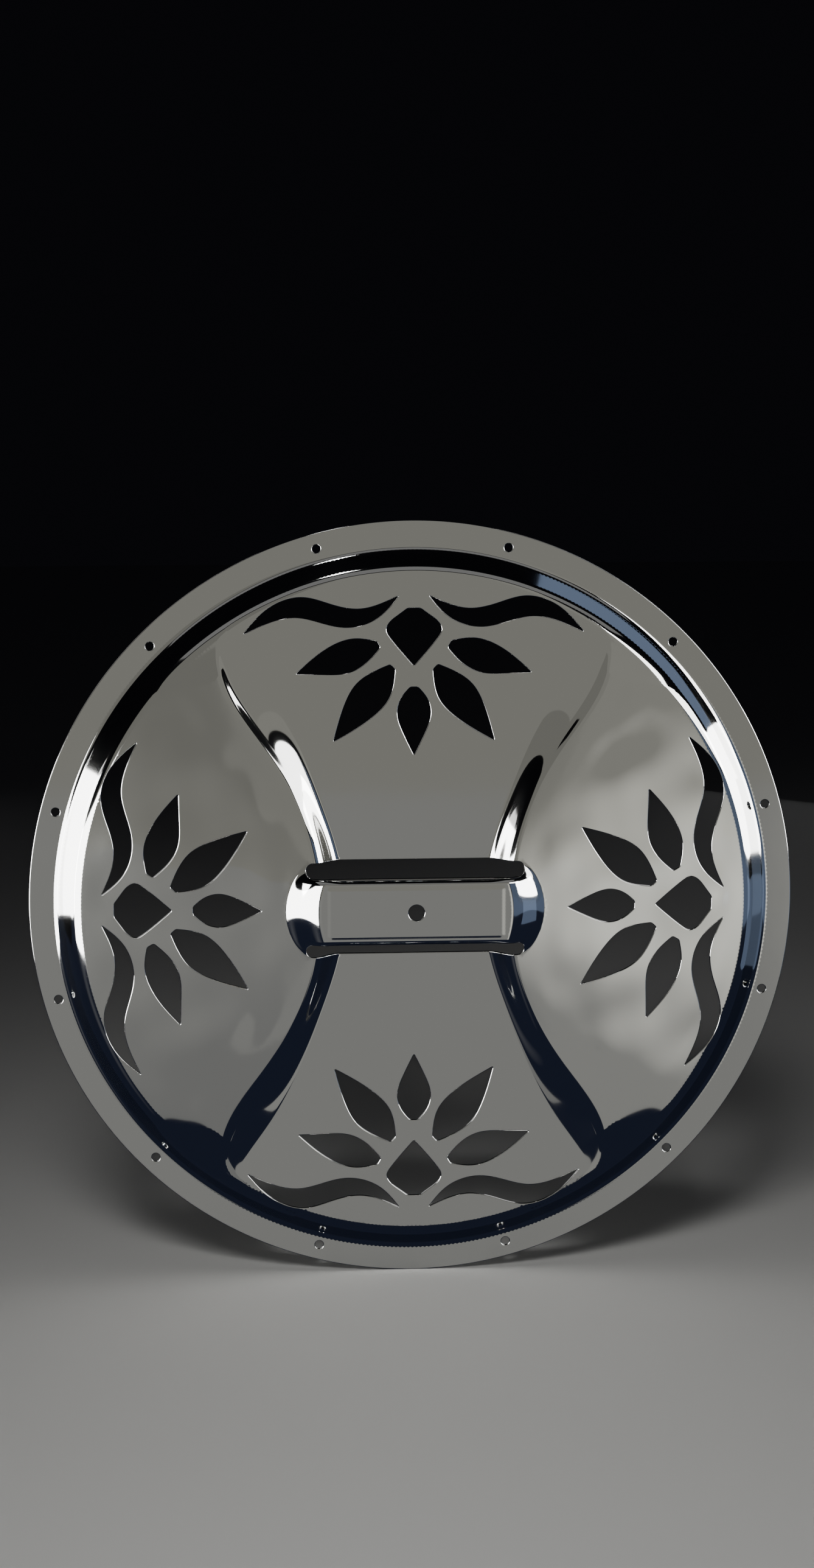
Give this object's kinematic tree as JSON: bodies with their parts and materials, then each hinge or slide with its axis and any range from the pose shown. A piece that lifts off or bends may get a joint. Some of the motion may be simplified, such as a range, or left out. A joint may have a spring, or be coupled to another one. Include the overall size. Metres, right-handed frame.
{
  "type": "resonator guitar cover plate",
  "caption": "Round pressed and chromed cover plate for a resonator guitar, with a raised hand rest between two string slots and a pierced flower pattern.",
  "frame": {"origin": "centre of the screw circle, on the plane of the flange's back face", "axes": "-Y out of the front of the plate, towards the player's side with the hand rest; +X along the hand rest; +Z along the strings"},
  "size_m": [0.2858, 0.0225, 0.2858],
  "materials": {
    "chromed_brass": "polished chrome plate on brass"
  },
  "bodies": {
    "root": {"cover_plate": "chromed_brass"}
  },
  "joints": []
}
